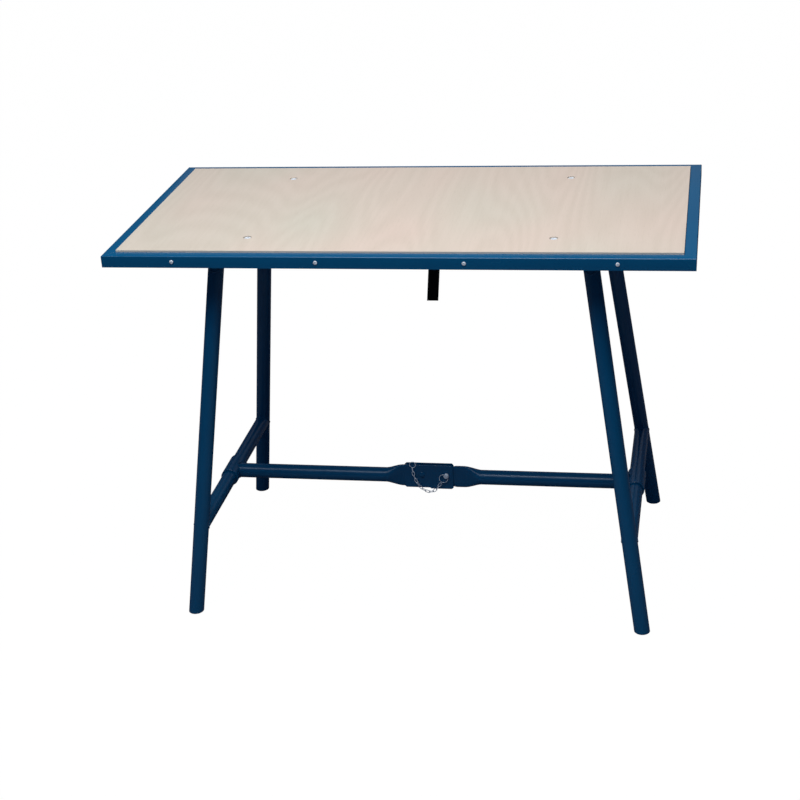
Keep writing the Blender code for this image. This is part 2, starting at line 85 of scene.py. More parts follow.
def aim_camera(place, yaw, pitch, roll, lens):
    ahead = Vector((-math.sin(yaw) * math.cos(pitch), math.cos(yaw) * math.cos(pitch), math.sin(pitch)))
    right = Vector((math.cos(yaw), math.sin(yaw), 0))
    up = right.cross(ahead)
    tilted_right = math.cos(roll) * right + math.sin(roll) * up
    tilted_up = -math.sin(roll) * right + math.cos(roll) * up
    data = bpy.data.cameras.new("photo_camera")
    data.lens = lens
    data.sensor_width = 36
    made = bpy.data.objects.new("photo_camera", data)
    bpy.context.scene.collection.objects.link(made)
    turn = Matrix((tilted_right, tilted_up, -ahead)).transposed().to_4x4()
    made.matrix_world = Matrix.Translation(place) @ turn
    bpy.context.scene.camera = made
    return made


camera = aim_camera(camera_place, camera_yaw, camera_pitch, camera_roll, camera_lens_mm)
bpy.context.scene.view_settings.view_transform = "Standard"
print("camera at", [round(v, 2) for v in camera_place], "with a lens of", camera_lens_mm, "mm")

# %% [markdown]
# Shader maths reads best as plain sums. This small class wraps a node's socket, so that `1 - mask` or
# `mask * 0.5` adds the Math nodes. Any other node comes from one method, `node`.


# %% A socket that does sums
class Wire:
    def __init__(self, tree, socket):
        self.tree = tree
        self.socket = socket

    def sum(self, operation, first, second):
        made = self.tree.nodes.new("ShaderNodeMath")
        made.operation = operation
        for slot, value in zip(made.inputs, (first, second)):
            if isinstance(value, Wire):
                self.tree.links.new(value.socket, slot)
            else:
                slot.default_value = value
        return Wire(self.tree, made.outputs[0])

    def __add__(self, other):
        return self.sum("ADD", self, other)

    def __radd__(self, other):
        return self.sum("ADD", other, self)

    def __sub__(self, other):
        return self.sum("SUBTRACT", self, other)

    def __rsub__(self, other):
        return self.sum("SUBTRACT", other, self)

    def __mul__(self, other):
        return self.sum("MULTIPLY", self, other)

    def __rmul__(self, other):
        return self.sum("MULTIPLY", other, self)

    def __gt__(self, other):
        return self.sum("GREATER_THAN", self, other)

    def __lt__(self, other):
        return self.sum("LESS_THAN", self, other)

    def wave(self):
        """A smooth wave between 0 and 1."""
        return self.sum("SINE", self, 0.0) * 0.5 + 0.5


class Finish:
    """One material: its tree, its shader, and a method that adds any node."""

    def __init__(self, name, roughness, metallic=0.0, specular=0.5):
        self.material = bpy.data.materials.new(name)
        self.material.use_nodes = True
        self.tree = self.material.node_tree
        self.shader = self.tree.nodes["Principled BSDF"]
        self.shader.inputs["Roughness"].default_value = roughness
        self.shader.inputs["Metallic"].default_value = metallic
        self.shader.inputs["Specular IOR Level"].default_value = specular

    def node(self, kind, settings=None, output=0, **values):
        made = self.tree.nodes.new(kind)
        for key, value in (settings or {}).items():
            if key == "stops":
                ramp = made.color_ramp
                while len(ramp.elements) < len(value):
                    ramp.elements.new(1)
                for stop, (place, colour) in zip(ramp.elements, value):
                    stop.position = place
                    stop.color = (*colour, 1)
            else:
                setattr(made, key, value)
        for key, value in values.items():
            numbered = key.startswith("n")
            slot = made.inputs[int(key[1:]) if numbered else key.replace("_", " ")]
            if isinstance(value, Wire):
                self.tree.links.new(value.socket, slot)
            else:
                slot.default_value = value
        return Wire(self.tree, made.outputs[output])

    def feed(self, **wires):
        for key, wire in wires.items():
            self.tree.links.new(wire.socket, self.shader.inputs[key.replace("_", " ")])
        return self

    def place(self, scale=(1, 1, 1)):
        """The object's own coordinates in metres, stretched by scale."""
        where = self.node("ShaderNodeTexCoord", output=3)
        return self.node("ShaderNodeMapping", Vector=where, Scale=scale)

    def blend(self, factor, first, second):
        return self.node("ShaderNodeMix", {"data_type": "RGBA"}, output=2, n0=factor, n6=first, n7=second)

    def bump(self, height, strength, distance):
        made = self.node("ShaderNodeBump", Strength=strength, Distance=distance, Height=height)
        return self.feed(Normal=made)


# %% [markdown]
# The steel is sprayed with dark blue gloss paint. A sprayed coat is never quite even: it has a fine orange
# peel, slow changes of tone, and sheen that shifts where hands rub. Noise at three sizes gives those. A
# picture of real paint would also do, but noise has no seams on the welded joints.


# %% Blue paint
def blue_paint():
    made = Finish("blue_paint", 0.3, specular=0.38)
    broad = made.node("ShaderNodeTexNoise", Vector=made.place(), Scale=6.0, Detail=3.0)
    fine = made.node("ShaderNodeTexNoise", Vector=made.place(), Scale=900.0, Detail=2.0)
    specks = made.node("ShaderNodeTexNoise", Vector=made.place(), Scale=160.0, Detail=4.0)
    tone = made.blend(broad, (0.0006, 0.077, 0.186, 1), (0.001, 0.104, 0.24, 1))
    dusty = made.blend((specks > 0.68) * 0.12, tone, (0.003, 0.135, 0.29, 1))
    made.feed(Base_Color=dusty, Roughness=0.21 + 0.1 * broad)
    return made.bump(fine + specks * 0.5, 0.06, 0.0002).material


paint = blue_paint()

# %% [markdown]
# The board is birch plywood with a clear seal. Its face veneer runs from front to back, with faint streaks
# and arches, short pores, and slow tints from pink to green. The arches are level lines of a noise stretched
# along the grain, which is close to what a knife does when it peels a log. Rings round an axis would be the
# other way, but they suit sawn planks better. The edge shows the plies as stripes.


# %% Birch plywood
def birch_plywood():
    made = Finish("birch_plywood", 0.5, specular=0.25)
    stretched = made.place((4.0, 0.6, 1.0))
    hills = made.node("ShaderNodeTexNoise", Vector=stretched, Scale=1.1, Detail=1.0, Roughness=0.4)
    arches = (hills * 150.0).wave()
    streaks = made.node("ShaderNodeTexNoise", Vector=made.place((60.0, 1.3, 1.0)), Scale=2.0, Detail=4.0)
    pores = made.node("ShaderNodeTexNoise", Vector=made.place((300.0, 12.0, 60.0)), Scale=3.0, Detail=3.0)
    tint = made.node("ShaderNodeTexNoise", Vector=made.place((3.0, 1.5, 1.0)), Scale=1.5, Detail=1.0)
    base = made.blend(tint, (0.79, 0.605, 0.515, 1), (0.65, 0.645, 0.53, 1))
    figured = made.blend(arches * 0.1 + streaks * 0.24, base, (0.5, 0.42, 0.32, 1))
    pored = made.blend((pores > 0.62) * 0.12, figured, (0.45, 0.37, 0.27, 1))
    height = made.node("ShaderNodeSeparateXYZ", output=2, Vector=made.place())
    plies = (height * (2 * math.pi / ply_pair)).wave() > 0.5
    edge = made.blend(plies * 0.5, (0.76, 0.68, 0.58, 1), (0.6, 0.5, 0.39, 1))
    between = (height < board_face - veneer_edge) * (height > board_back + veneer_edge)
    shown = made.blend(between, pored, edge)
    made.feed(Base_Color=shown, Roughness=0.42 + 0.14 * pores)
    return made.bump(pores + arches * 0.2, 0.1, 0.0003).material


ply_pair, veneer_edge = 2.8 * MM, 0.1 * MM
board_back, board_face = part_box("board")[0].z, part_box("board")[1].z
plywood = birch_plywood()

# %% [markdown]
# Screws, bolts, the pin and the chain are bright zinc. Plating is slightly cloudy, with a fine spangle and
# small dull spots. The strap is black webbing, and the foot plugs are moulded plastic.


# %% Zinc, webbing and plastic
def bright_zinc():
    made = Finish("bright_zinc", 0.32, metallic=0.2)
    cloud = made.node("ShaderNodeTexNoise", Vector=made.place(), Scale=300.0, Detail=3.0)
    spots = made.node("ShaderNodeTexVoronoi", Vector=made.place(), Scale=900.0)
    plating = made.blend(cloud, (0.84, 0.89, 0.96, 1), (0.97, 0.99, 1.0, 1))
    made.feed(Base_Color=plating, Roughness=0.22 + 0.2 * cloud)
    return made.bump(spots, 0.08, 0.0002).material


def black_webbing():
    made = Finish("black_webbing", 0.85, specular=0.2)
    where = made.place()
    across = made.node("ShaderNodeTexWave", {"bands_direction": "Z"}, output=1, Vector=where, Scale=220.0)
    along = made.node("ShaderNodeTexWave", {"bands_direction": "X"}, output=1, Vector=where, Scale=160.0)
    weave = across * along
    made.feed(Base_Color=made.blend(weave, (0.001, 0.001, 0.0012, 1), (0.006, 0.006, 0.0065, 1)))
    return made.bump(weave, 0.6, 0.0005).material


def moulded_plastic():
    made = Finish("moulded_plastic", 0.5)
    grain = made.node("ShaderNodeTexNoise", Vector=made.place(), Scale=1200.0, Detail=2.0)
    made.feed(Base_Color=made.blend(grain, (0.012, 0.012, 0.013, 1), (0.024, 0.023, 0.023, 1)))
    return made.bump(grain, 0.2, 0.0003).material


zinc, webbing, plastic = bright_zinc(), black_webbing(), moulded_plastic()
print("materials:", [m.name for m in (paint, plywood, zinc, webbing, plastic)])

# %% [markdown]
# Most pieces are turned, drawn or bent from wire or tube. A ring of points pushed along a path makes all of
# them, so one helper skins a stack of rings, and a few others prepare the rings.


# %% Mesh helpers
def skin(rings, closed=False):
    """Faces between rings of points, joined end to start or capped at both ends."""
    mesh = bmesh.new()
    made = [[mesh.verts.new(p) for p in ring] for ring in rings]
    for k in range(len(made) if closed else len(made) - 1):
        here, there = made[k], made[(k + 1) % len(made)]
        for i in range(len(here)):
            j = (i + 1) % len(here)
            mesh.faces.new((here[i], here[j], there[j], there[i]))
    if not closed:
        mesh.faces.new(list(reversed(made[0])))
        mesh.faces.new(made[-1])
    return mesh


def piece(name, mesh, material, body, nodes=(), bevel=0.0, smooth_degrees=35):
    """Turn a bmesh into a piece that rides on a body and stands for CAD nodes."""
    bmesh.ops.recalc_face_normals(mesh, faces=mesh.faces)
    data = bpy.data.meshes.new(name)
    mesh.to_mesh(data)
    mesh.free()
    data.materials.append(material)
    made = bpy.data.objects.new(name, data)
    bpy.context.scene.collection.objects.link(made)
    if bevel:
        edge = made.modifiers.new("soft_edges", "BEVEL")
        edge.width = bevel
        edge.segments = 3
        edge.limit_method = "ANGLE"
        edge.angle_limit = math.radians(smooth_degrees)
    data.shade_smooth()
    data.set_sharp_from_angle(angle=math.radians(smooth_degrees))
    if body:
        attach(made, body)
    if nodes:
        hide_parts(*nodes)
    return made


def turned(profile, start, ahead, sides=40):
    """Rings from (distance, radius) pairs turned round the line from start along ahead."""
    start, ahead = Vector(start), Vector(ahead).normalized()
    side = ahead.orthogonal().normalized()
    other = ahead.cross(side)
    rings = []
    for distance, radius in profile:
        ring = []
        for i in range(sides):
            angle = 2 * math.pi * i / sides
            spoke = math.cos(angle) * side + math.sin(angle) * other
            ring.append(start + ahead * distance + radius * spoke)
        rings.append(ring)
    return rings


def wire(points, radius, sides=10, closed=True):
    """A round wire through points, with its section kept square to the path."""
    rings = []
    count = len(points)
    last = None
    for i, point in enumerate(points):
        before = points[i - 1] if closed or i else point
        after = points[(i + 1) % count] if closed or i < count - 1 else point
        ahead = (after - before).normalized()
        side = (last - ahead * last.dot(ahead)).normalized() if last else ahead.orthogonal().normalized()
        last = side
        other = ahead.cross(side)
        turns = [2 * math.pi * k / sides for k in range(sides)]
        rings.append([point + radius * (math.cos(t) * side + math.sin(t) * other) for t in turns])
    return rings


def middle_of(node):
    low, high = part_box(node)
    return (Vector(low) + Vector(high)) / 2


def size_of(node):
    low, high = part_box(node)
    return Vector(high) - Vector(low)


def joint_at(name):
    found = next(j for j in frame["joints"] if j["name"] == name)
    return Vector(found["pos_m"])


# %% [markdown]
# The rim is four lengths of steel angle, mitred at the corners and welded. Its outer edge is slightly
# rounded, which catches the light as a thin bright line, so the profile has a small radius there. A bevel on
# a sharp profile would do too, but it would also round the mitres.

# %% Rim
rim_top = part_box("rim_front")[1].z
rim_width = size_of("rim_left").x
rim_height = size_of("rim_front").z
rim_steel = 3 * MM
rim_radius = 2.2 * MM
lip_radius = 0.6 * MM
mitre_gap, corner_gap = 0.05 * MM, 0.3 * MM


def angle_profile():
    """(inward, height) points round the angle section, with a rounded outer corner and lip."""
    under, foot = rim_top - rim_steel, rim_top - rim_height
    points = [(0, foot), (rim_steel, foot), (rim_steel, under), (rim_width, under)]
    for radius, centre, first in ((lip_radius, rim_width - lip_radius, 0), (rim_radius, rim_radius, 90)):
        for k in range(6):
            angle = math.radians(first + 90 * k / 5)
            points.append((centre + radius * math.cos(angle), rim_top - radius + radius * math.sin(angle)))
    return points


def rim_side(node, length, across, turn):
    rings = []
    steps = 24
    for k in range(steps + 1):
        share = 2 * k / steps - 1
        ring = []
        for inward, z in angle_profile():
            half = length / 2 - inward - mitre_gap
            ring.append(Matrix.Rotation(turn, 3, "Z") @ Vector((share * half, inward - across / 2, z)))
        rings.append(ring)
    return piece("painted_" + node, skin(rings), paint, "top", [node], smooth_degrees=50)


top_length = cad_high.x - cad_low.x
top_depth = size_of("rim_left").y + corner_gap
rim_side("rim_front", top_length, top_depth, 0)
rim_side("rim_back", top_length, top_depth, math.pi)
rim_side("rim_right", top_depth, top_length, math.pi / 2)
rim_side("rim_left", top_depth, top_length, -math.pi / 2)
print("rim width and height in mm:", round(rim_width / MM, 1), round(rim_height / MM, 1))

# %% [markdown]
# The corner welds are ground nearly flush, so only a faint raised line is left across each mitre.
# Vector noise starts from the clock unless it is given a seed, so it gets one here and each run is alike.

# %% Mitre welds
weld_seed = 7
noise.seed_set(weld_seed)
weld_radius = 0.8 * MM
weld_inset = 1.5 * MM
weld_end = rim_width - MM
weld_stray = 0.12 * MM


def rough_path(start, end, count, stray, seed):
    points = []
    for k in range(count + 1):
        point = start.lerp(end, k / count)
        points.append(point + noise.noise_vector(point * 400 + Vector((seed, 0, 0))) * stray)
    return points


for number, (sx, sy) in enumerate(((-1, -1), (1, -1), (1, 1), (-1, 1))):
    corner_x, corner_y = top_length / 2, top_depth / 2
    level = rim_top - weld_radius * 0.8
    outer = Vector((sx * (corner_x - weld_inset), sy * (corner_y - weld_inset), level))
    inner = Vector((sx * (corner_x - weld_end), sy * (corner_y - weld_end), level))
    seam = wire(rough_path(outer, inner, 14, weld_stray, number), weld_radius, closed=False)
    piece(f"mitre_weld_{number + 1}", skin(seam), paint, "top")
print("each mitre weld is", round((outer - inner).length / MM), "mm long")

# %% [markdown]
# The board itself is flat and square, and the CAD node has its true shape and bolt recesses. It stays, and
# only takes the plywood finish. The hinge brackets are flat plate, so they stay too, in blue.

# %% Board and brackets
for name, held in frame["nodes"].items():
    if name == "board":
        held.data.materials.clear()
        held.data.materials.append(plywood)
    elif name.startswith("hinge_bracket"):
        held.data.materials.clear()
        held.data.materials.append(paint)
        print("kept in blue:", name)


# %% [markdown]
# Small cross-head screws hold the rim to the board's edge. The head is a low dome with a cross recess, cut
# here with two crossed blades. Folding the cross into the dome's own mesh would need far more points.

# %% Screws
rim_head_height, rim_shank, rim_screw_length = 1.4 * MM, 2 * MM, 20 * MM
cross_depth, cross_share, blade_share = 2 * MM, 1.1, 0.24


def carve(made, tool):
    step = made.modifiers.new("carve", "BOOLEAN")
    step.object = tool
    step.solver = "EXACT"
    bpy.context.view_layer.update()
    data = bpy.data.meshes.new_from_object(made.evaluated_get(bpy.context.evaluated_depsgraph_get()))
    made.modifiers.remove(step)
    made.data = data
    held = tool.data
    bpy.data.objects.remove(tool)
    bpy.data.meshes.remove(held)
    data.shade_smooth()
    data.set_sharp_from_angle(angle=math.radians(35))


def blade(centre, size):
    mesh = bmesh.new()
    bmesh.ops.create_cube(mesh, size=1, matrix=Matrix.Translation(centre) @ Matrix.Diagonal((*size, 1)))
    data = bpy.data.meshes.new("blade")
    mesh.to_mesh(data)
    mesh.free()
    made = bpy.data.objects.new("blade", data)
    bpy.context.scene.collection.objects.link(made)
    return made


def dome_profile(radius, height, shank, length, steps=7):
    points = [(0, 0.02 * radius)]
    for k in range(1, steps + 1):
        angle = math.radians(90 * k / steps)
        points.append((height * (1 - math.cos(angle)), radius * math.sin(angle)))
    return points + [(height, shank), (height + length, shank)]


def rim_screw(node):
    low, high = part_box(node)
    centre = middle_of(node)
    front = centre.y < 0
    start = Vector((centre.x, low[1] if front else high[1], centre.z))
    ahead = Vector((0, 1 if front else -1, 0))
    radius = size_of(node).x / 2
    profile = dome_profile(radius, rim_head_height, rim_shank, rim_screw_length)
    made = piece("zinc_" + node, skin(turned(profile, start, ahead, 28)), zinc, None)
    long_side, short_side = radius * cross_share, radius * blade_share
    for size in ((long_side, cross_depth, short_side), (short_side, cross_depth, long_side)):
        carve(made, blade(start, size))
    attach(made, "top")
    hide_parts(node)


for side in ("front", "back"):
    for number in range(1, 5):
        rim_screw(f"rim_screw_{side}_{number}")
print("rim screw heads are", round(size_of("rim_screw_front_1").x / MM, 1), "mm across")


# %% [markdown]
# Four bolts pass through the board in round recesses. Each has a socket head, and a washer and six-sided nut
# below the hinge bracket.

# %% Board bolts
bolt_bevel, bolt_head_height, bolt_shank = 0.5 * MM, 3.4 * MM, 4 * MM
socket_radius, socket_depth = 3.2 * MM, 2.2 * MM
washer_hole, washer_radius, washer_thick = 4.3 * MM, 8 * MM, 1.5 * MM
nut_radius, nut_bevel = 7 * MM, 0.6 * MM


def hexagon(radius, z, centre):
    turns = [math.pi * k / 3 for k in range(6)]
    return [Vector((centre.x + radius * math.cos(t), centre.y + radius * math.sin(t), z)) for t in turns]


def board_bolt(corner):
    node, nut = "board_bolt_" + corner, "bolt_nut_" + corner
    low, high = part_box(node)
    centre = middle_of(node)
    radius = size_of(node).x / 2
    profile = ((0, radius - bolt_bevel), (bolt_bevel, radius), (bolt_head_height, radius),
               (bolt_head_height, bolt_shank), (high[2] - low[2], bolt_shank))
    start = Vector((centre.x, centre.y, high[2]))
    made = piece("zinc_" + node, skin(turned(profile, start, (0, 0, -1), 36)), zinc, None)
    socket = skin([hexagon(socket_radius, high[2] - socket_depth, centre),
                   hexagon(socket_radius, high[2] + socket_depth, centre)])
    carve(made, piece("socket", socket, zinc, None))
    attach(made, "top")
    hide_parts(node)
    nut_low, nut_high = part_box(nut)
    washer_base = nut_high[2] - washer_thick
    thick = washer_thick
    square = ((0, washer_hole), (0, washer_radius), (thick, washer_radius), (thick, washer_hole))
    washer = turned(square, (centre.x, centre.y, nut_high[2]), (0, 0, -1), 32)
    piece("washer_" + corner, skin(washer, closed=True), zinc, "top")
    body = skin([hexagon(nut_radius, washer_base, centre), hexagon(nut_radius, nut_low[2], centre)])
    piece("zinc_" + nut, body, zinc, "top", [nut], bevel=nut_bevel)


for corner in ("left_front", "left_back", "right_front", "right_back"):
    board_bolt(corner)
    print("bolt", corner, "at", [round(v, 3) for v in middle_of("board_bolt_" + corner)])

# %% [markdown]
# Each leg frame is four tubes welded together. Round tube shows as a smooth highlight, so the tubes here have
# many more sides than the CAD ones. The feet are cut level with the floor.

# %% Leg frames
tube_radius = size_of("left_pivot_tube").x / 2
tube_wall = 2.5 * MM
tube_soft, foot_soft = 0.5 * MM, 0.4 * MM
plug_gap, plug_length, plug_lift, plug_dish = 0.1 * MM, 20 * MM, 0.2 * MM, 1.2 * MM
plug_share = 0.55
foot_x, foot_y = 497 * MM, 295 * MM
leg_top_y = 201.5 * MM
crossbar_level = middle_of("left_crossbar").z


def tube(name, start, end, radius, body, node, wall=tube_wall):
    """An open-ended tube with slightly rounded rims."""
    start, end = Vector(start), Vector(end)
    length = (end - start).length
    inner = radius - wall
    profile = ((tube_soft, radius), (length - tube_soft, radius), (length, radius - tube_soft),
               (length, inner), (0, inner), (0, radius - tube_soft))
    rings = turned(profile, start, end - start, 64)
    return piece(name, skin(rings, closed=True), paint, body, [node])


def leg_axis(side, end):
    """A leg's top on the pivot and its foot on the floor, from the pivot and the foot plug."""
    sx, sy = (-1 if side == "left" else 1), (-1 if end == "front" else 1)
    hinge = joint_at(side + "_leg_fold")
    foot = Vector((sx * foot_x, sy * foot_y, 0))
    return Vector((hinge.x, sy * leg_top_y, hinge.z)), foot


def leg(side, end):
    top, foot = leg_axis(side, end)
    down = (foot - top).normalized()
    sides = 64
    outer_top = turned(((0, tube_radius),), top, down, sides)[0]
    inner_top = turned(((0, tube_radius - tube_wall),), top, down, sides)[0]

    def to_level(ring, z):
        return [p + down * ((z - p.z) / down.z) for p in ring]

    smaller = turned(((0, tube_radius - foot_soft),), top, down, sides)[0]
    rings = [inner_top, outer_top, to_level(outer_top, foot_soft), to_level(smaller, 0),
             to_level(inner_top, 0)]
    node = f"{side}_leg_{end}"
    piece("painted_" + node, skin(rings, closed=True), paint, side + "_frame", [node])
    plug_ring = turned(((0, tube_radius - tube_wall - plug_gap),), top, down, sides)[0]
    flat = turned(((0, tube_radius * plug_share),), top, down, sides)[0]
    plug = [to_level(plug_ring, plug_length), to_level(plug_ring, plug_lift),
            to_level(flat, plug_lift), to_level(flat, plug_dish)]
    node = f"{side}_foot_plug_{end}"
    piece("moulded_" + node, skin(plug), plastic, side + "_frame", [node])


for side in ("left", "right"):
    for end in ("front", "back"):
        leg(side, end)
    low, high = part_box(side + "_pivot_tube")
    centre = middle_of(side + "_pivot_tube")
    start, end = (centre.x, low[1], centre.z), (centre.x, high[1], centre.z)
    tube(f"painted_{side}_pivot_tube", start, end, tube_radius, side + "_frame", side + "_pivot_tube")
    low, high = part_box(side + "_crossbar")
    centre = middle_of(side + "_crossbar")
    start, end = (centre.x, low[1], centre.z), (centre.x, high[1], centre.z)
    tube(f"painted_{side}_crossbar", start, end, tube_radius, side + "_frame", side + "_crossbar")
    print(side, "frame: four tubes of", round(2 * tube_radius / MM, 1), "mm")

# %% [markdown]
# Where two tubes meet, the weld runs round the saddle-shaped line in which one enters the other. That line is
# found point by point: start on one tube's skin and slide along it until it reaches the other tube's radius.


# %% Weld beads
def saddle(inner_start, inner_ahead, inner_radius, outer_start, outer_ahead, outer_radius, sign, count=96):
    """Points where one tube's skin meets another's, on the side that sign picks."""
    inner_ahead, outer_ahead = Vector(inner_ahead).normalized(), Vector(outer_ahead).normalized()
    across = inner_ahead - outer_ahead * inner_ahead.dot(outer_ahead)
    found = []
    for start in turned(((0, inner_radius),), inner_start, inner_ahead, count)[0]:
        offset = start - Vector(outer_start)
        offset -= outer_ahead * offset.dot(outer_ahead)
        a, b, c = across.dot(across), 2 * offset.dot(across), offset.dot(offset) - outer_radius ** 2
        root = math.sqrt(max(b * b - 4 * a * c, 0))
        found.append(start + inner_ahead * ((-b + sign * root) / (2 * a)))
    return found


def bead(name, points, body, radius=1.5 * MM, ripples=30, seed=0):
    """A weld bead along a closed line, with the scaly ripples of a hand-run weld."""
    count = len(points)
    rings = wire(points, 1, 12)
    shaped = []
    for i, ring in enumerate(rings):
        scale = math.sin(2 * math.pi * ripples * i / count)
        unevenness = noise.noise(points[i] * 160 + Vector((seed, 0, 0)))
        ripple = 1 + 0.14 * scale + 0.18 * unevenness
        shaped.append([points[i] + (p - points[i]) * radius * ripple for p in ring])
    piece(name, skin(shaped, closed=True), paint, body)


for side in ("left", "right"):
    bar = middle_of(side + "_crossbar")
    hinge = joint_at(side + "_leg_fold")
    for number, end in enumerate(("front", "back")):
        sy = -1 if end == "front" else 1
        top, foot = leg_axis(side, end)
        line = saddle((bar.x, 0, bar.z), (0, 1, 0), tube_radius, top, foot - top, tube_radius, -sy)
        bead(f"{side}_crossbar_weld_{end}", line, side + "_frame", seed=number)
        line = saddle(top, foot - top, tube_radius, hinge, (0, 1, 0), tube_radius, 1)
        bead(f"{side}_pivot_weld_{end}", line, side + "_frame", seed=number + 4)
    print(side, "frame: four weld beads")

# %% [markdown]
# The stretcher is two tubes. Each starts at a sleeve that turns on its crossbar, and ends pressed flat, so
# the section changes slowly from a circle to a flat oval. A superellipse makes every stage of that, where a
# blend of two drawn outlines would pinch halfway.

# %% Stretcher
flat_height, flat_thickness = 53.5 * MM, 8 * MM
fit_gap = 0.3 * MM
flat_reach = {"left": 62 * MM, "right": 78 * MM}
taper_length = 42 * MM
end_radius = 22 * MM
sleeve_bead = 1.8 * MM
rivet_x, pin_x = -18.5 * MM, 38.5 * MM
pin_level = middle_of("lock_pin").z
crossbar_x = abs(middle_of("left_crossbar").x)


def section(x, half_height, half_thickness, fullness, sides=64):
    ring = []
    for i in range(sides):
        angle = 2 * math.pi * (i + 0.5) / sides
        c, s = math.cos(angle), math.sin(angle)
        y = half_thickness * math.copysign(abs(c) ** (2 / fullness), c)
        z = half_height * math.copysign(abs(s) ** (2 / fullness), s)
        ring.append(Vector((x, y, crossbar_level + z)))
    return ring


def stretcher_half(side, sx, end_x):
    rings = [section(sx * (crossbar_x - tube_radius), tube_radius, tube_radius, 2)]
    steps = 20
    for i in range(steps + 1):
        share = i / steps
        ease = share * share * (3 - 2 * share)
        x = flat_reach[side] + taper_length * (1 - share)
        rings.append(section(sx * x, tube_radius + (flat_height / 2 - tube_radius) * ease,
                             tube_radius + (flat_thickness / 2 - tube_radius) * ease, 2 + 2 * ease))
    rings.append(section(sx * (abs(end_x) + end_radius), flat_height / 2, flat_thickness / 2, 4))
    for k in range(1, 9):
        angle = math.radians(85 * k / 8)
        x = abs(end_x) - end_radius * math.sin(angle)
        rings.append(section(sx * x, end_radius * math.cos(angle), flat_thickness / 2, 4))
    name = side + "_stretcher"
    return piece("painted_" + name, skin(rings), paint, side + "_half", [name])


sleeve_radius = size_of("left_sleeve").x / 2
for side, sx, end_x in (("left", -1, rivet_x), ("right", 1, pin_x)):
    stretcher_half(side, sx, end_x)
    low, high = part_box(side + "_sleeve")
    centre = middle_of(side + "_sleeve")
    start, end = (centre.x, low[1], centre.z), (centre.x, high[1], centre.z)
    tube(f"painted_{side}_sleeve", start, end, sleeve_radius, side + "_half", side + "_sleeve",
         wall=sleeve_radius - tube_radius - fit_gap)
    line = saddle((0, 0, centre.z), (1, 0, 0), tube_radius, centre, (0, 1, 0), sleeve_radius, -sx)
    bead(f"{side}_sleeve_weld", line, side + "_half", radius=sleeve_bead, seed=9 + sx)
    print(side, "half is", round(size_of(side + "_stretcher").x / MM), "mm long")

# %% [markdown]
# Two plates clasp the flattened ends. A painted rivet holds them to the left half; the lock pin passes
# through to the right half. The plates are the CAD outline with softened edges.

# %% Knuckle
plate_low, plate_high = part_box("knuckle_plate_front")
plate_step, plate_clip, plate_bevel = 2.35 * MM, 4 * MM, 0.8 * MM


def plate_outline():
    left, right = plate_low[0], plate_high[0]
    bottom, top = plate_low[2], plate_high[2]
    shallow, clip = bottom + plate_step, plate_clip
    return [(left, shallow + clip), (left + clip, shallow), (0, shallow), (0, bottom),
            (right - clip, bottom), (right, bottom + clip), (right, top - clip), (right - clip, top),
            (left + clip, top), (left, top - clip)]


for face in ("front", "back"):
    low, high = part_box("knuckle_plate_" + face)
    rings = [[Vector((x, y, z)) for x, z in plate_outline()] for y in (low[1], high[1])]
    node = "knuckle_plate_" + face
    piece("painted_" + node, skin(rings), paint, "left_half", [node], bevel=plate_bevel)

rivet_low, rivet_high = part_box("knuckle_rivet")
rivet_head = size_of("knuckle_rivet").x / 2
head_high, rivet_shank = 3 * MM, 4 * MM
tip_share = 0.02
half_rivet = []
for k in range(9):
    angle = math.radians(88 * (1 - k / 8))
    across = max(math.cos(angle), tip_share) * rivet_head
    half_rivet.append((head_high * (1 - math.sin(angle)), across))
half_rivet.append((head_high, rivet_shank))
span = rivet_high[1] - rivet_low[1]
whole = half_rivet + [(span - d, r) for d, r in reversed(half_rivet)]
rivet_rings = turned(whole, (rivet_x, rivet_low[1], pin_level), (0, 1, 0), 36)
piece("painted_knuckle_rivet", skin(rivet_rings), paint, "left_half", ["knuckle_rivet"])
print("knuckle plates are", [round(v / MM, 1) for v in size_of("knuckle_plate_front")], "mm")

# %% [markdown]
# The lock pin has a cross-drilled head with a split ring through it. A split ring is two turns of spring wire
# side by side, so the wire runs round twice with a small sideways shift.

# %% Lock pin, split ring and eye
pin_low, pin_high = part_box("lock_pin")
pin_head, head_long, pin_radius = size_of("lock_pin").x / 2, 7 * MM, 4 * MM
pin_soft = 0.6 * MM
pin_profile = ((0, pin_head * 0.55), (0.7 * MM, pin_head * 0.8), (1.8 * MM, pin_head),
               (head_long - pin_soft, pin_head), (head_long, pin_head - pin_soft), (head_long, pin_radius),
               (pin_high[1] - pin_low[1], pin_radius))
pin_rings = turned(pin_profile, (pin_x, pin_low[1], pin_level), (0, 1, 0), 40)
piece("zinc_lock_pin", skin(pin_rings), zinc, "lock_pin", ["lock_pin"])

cad_wire, coil_shift = 0.9 * MM, 0.8 * MM
ring_middle = middle_of("split_ring")
ring_radius = size_of("split_ring").x / 2 - cad_wire
coil = []
turns, per_turn = 2, 56
ring_wire, eye_wire = 0.62 * MM, 0.8 * MM
for k in range(turns * per_turn + 1):
    angle = 2 * math.pi * k / per_turn + math.radians(200)
    shift = (k / (turns * per_turn) - 0.5) * coil_shift
    coil.append(ring_middle + Vector((ring_radius * math.cos(angle), shift, ring_radius * math.sin(angle))))
ring_mesh = skin(wire(coil, ring_wire, 12, closed=False))
piece("wire_split_ring", ring_mesh, zinc, "lock_pin", ["split_ring"])

eye_middle = middle_of("chain_eye")
eye_radius = size_of("chain_eye").x / 2 - cad_wire
spots = [2 * math.pi * k / 48 for k in range(48)]
loop = [eye_middle + eye_radius * Vector((math.cos(t), 0, math.sin(t))) for t in spots]
piece("wire_chain_eye", skin(wire(loop, eye_wire, 12), closed=True), zinc, "left_half", ["chain_eye"])
print("split ring is", round(2 * ring_radius / MM, 1), "mm across its wire's middle")

